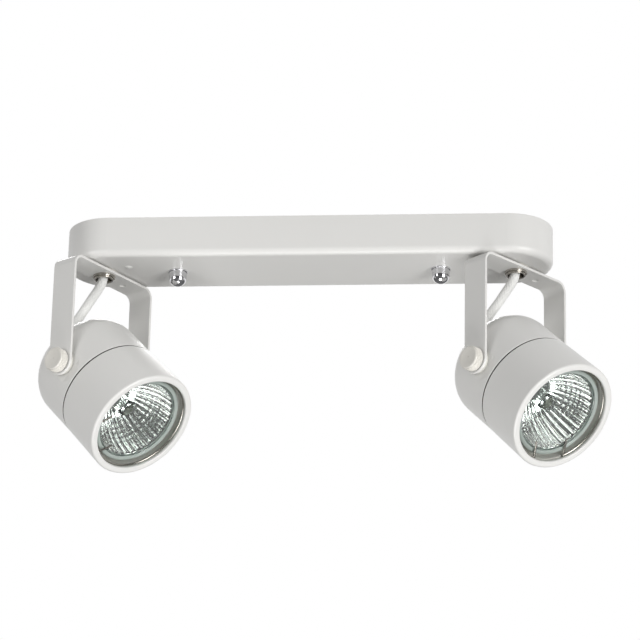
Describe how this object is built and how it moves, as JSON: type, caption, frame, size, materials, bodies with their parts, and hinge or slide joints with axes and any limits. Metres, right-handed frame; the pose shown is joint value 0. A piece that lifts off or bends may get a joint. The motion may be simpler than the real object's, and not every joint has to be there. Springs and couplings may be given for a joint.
{
  "type": "pivoting spotlight wall light",
  "caption": "Spotlight bar: slim round-ended canopy with cylindrical lamp heads that pan on hollow nipples and tilt in U-shaped yokes locked by thumb screws.",
  "frame": {"origin": "centre of the mounting face, on the wall side of the mounting bracket", "axes": "+Z into the wall or ceiling, +X along the canopy, the heads hang on the -Z side"},
  "size_m": [0.3069, 0.0835, 0.138],
  "materials": {
    "white_enamel": "semi-matt white powder coat",
    "zinc_plate": "bright zinc plate",
    "bright_chrome": "polished",
    "nickel": "nickel plate",
    "spring_steel": "drawn wire and sprung strip",
    "fibre": "vulcanised fibre",
    "nylon": "natural nylon",
    "ivory_plastic": "moulded, satin gloss",
    "block_plastic": "moulded nylon",
    "brass": "machined",
    "tinned_brass": "tin plate",
    "brown_insulation": "silicone insulation",
    "blue_insulation": "silicone insulation",
    "green_yellow_insulation": "silicone insulation",
    "white_sheath": "braided sleeve over silicone cores",
    "bush_rubber": "white silicone rubber",
    "socket_ceramic": "unglazed steatite",
    "lamp_ceramic": "white ceramic",
    "reflector_silver": "pressed glass, faceted and silvered inside",
    "lamp_glass": "clear",
    "capsule_glass": "clear quartz"
  },
  "bodies": {
    "base": {"canopy": "white_enamel", "mounting_bracket": "zinc_plate", "bracket_studs": "zinc_plate", "stud_nuts": "zinc_plate", "cap_nuts": "bright_chrome", "nipples": "nickel", "nipple_nuts": "zinc_plate", "spring_washers": "spring_steel", "pan_washers": "fibre", "terminal_block": "block_plastic", "terminal_clamps": "brass", "terminal_screws": "zinc_plate", "bracket_screws": "zinc_plate", "earth_tag": "tinned_brass", "live_cores": "brown_insulation", "earth_cores": "green_yellow_insulation", "neutral_cores": "blue_insulation"},
    "yoke_left": {"yoke_left": "white_enamel", "head_cable_left": "white_sheath"},
    "head_left": {"rear_housing_left": "white_enamel", "front_sleeve_left": "white_enamel", "sleeve_screws_left": "zinc_plate", "pivot_washers_left": "nylon", "lamp_socket_left": "socket_ceramic", "socket_strap_left": "zinc_plate", "strap_screws_left": "zinc_plate", "socket_wires_left": "white_sheath", "cable_bush_left": "bush_rubber", "lamp_reflector_left": "reflector_silver", "lamp_glass_left": "lamp_glass", "lamp_capsule_left": "capsule_glass", "lamp_base_left": "lamp_ceramic", "lamp_pins_left": "nickel", "lamp_clip_left": "spring_steel"},
    "knob_left_near": {"thumb_knob_left_near": "ivory_plastic", "thumb_screw_left_near": "nickel"},
    "knob_left_far": {"thumb_knob_left_far": "ivory_plastic", "thumb_screw_left_far": "nickel"},
    "yoke_right": {"yoke_right": "white_enamel", "head_cable_right": "white_sheath"},
    "head_right": {"rear_housing_right": "white_enamel", "front_sleeve_right": "white_enamel", "sleeve_screws_right": "zinc_plate", "pivot_washers_right": "nylon", "lamp_socket_right": "socket_ceramic", "socket_strap_right": "zinc_plate", "strap_screws_right": "zinc_plate", "socket_wires_right": "white_sheath", "cable_bush_right": "bush_rubber", "lamp_reflector_right": "reflector_silver", "lamp_glass_right": "lamp_glass", "lamp_capsule_right": "capsule_glass", "lamp_base_right": "lamp_ceramic", "lamp_pins_right": "nickel", "lamp_clip_right": "spring_steel"},
    "knob_right_near": {"thumb_knob_right_near": "ivory_plastic", "thumb_screw_right_near": "nickel"},
    "knob_right_far": {"thumb_knob_right_far": "ivory_plastic", "thumb_screw_right_far": "nickel"}
  },
  "joints": [
    {"name": "pan_left", "type": "hinge", "parent": "base", "child": "yoke_left", "pos_m": [-0.112, 0, -0.0229], "axis": [0, 0, 1], "range_deg": [-67.5, 259.5]},
    {"name": "tilt_left", "type": "hinge", "parent": "yoke_left", "child": "head_left", "pos_m": [-0.112, 0, -0.0844], "axis": [-0.5314, -0.8471, 0], "range_deg": [-44, 45.5], "deforming": ["head_cable_left"]},
    {"name": "knob_left_near", "type": "hinge", "parent": "head_left", "child": "knob_left_near", "pos_m": [-0.13087, -0.03007, -0.0844], "axis": [-0.5314, -0.8471, 0], "range_deg": [0, 360]},
    {"name": "knob_left_far", "type": "hinge", "parent": "head_left", "child": "knob_left_far", "pos_m": [-0.09313, 0.03007, -0.0844], "axis": [0.5314, 0.8471, 0], "range_deg": [0, 360]},
    {"name": "pan_right", "type": "hinge", "parent": "base", "child": "yoke_right", "pos_m": [0.112, 0, -0.0229], "axis": [0, 0, 1], "range_deg": [-187, 140]},
    {"name": "tilt_right", "type": "hinge", "parent": "yoke_right", "child": "head_right", "pos_m": [0.112, 0, -0.0844], "axis": [-0.6508, -0.7593, 0], "range_deg": [-46.5, 43], "deforming": ["head_cable_right"]},
    {"name": "knob_right_near", "type": "hinge", "parent": "head_right", "child": "knob_right_near", "pos_m": [0.0889, -0.02695, -0.0844], "axis": [-0.6508, -0.7593, 0], "range_deg": [0, 360]},
    {"name": "knob_right_far", "type": "hinge", "parent": "head_right", "child": "knob_right_far", "pos_m": [0.1351, 0.02695, -0.0844], "axis": [0.6508, 0.7593, 0], "range_deg": [0, 360]}
  ]
}
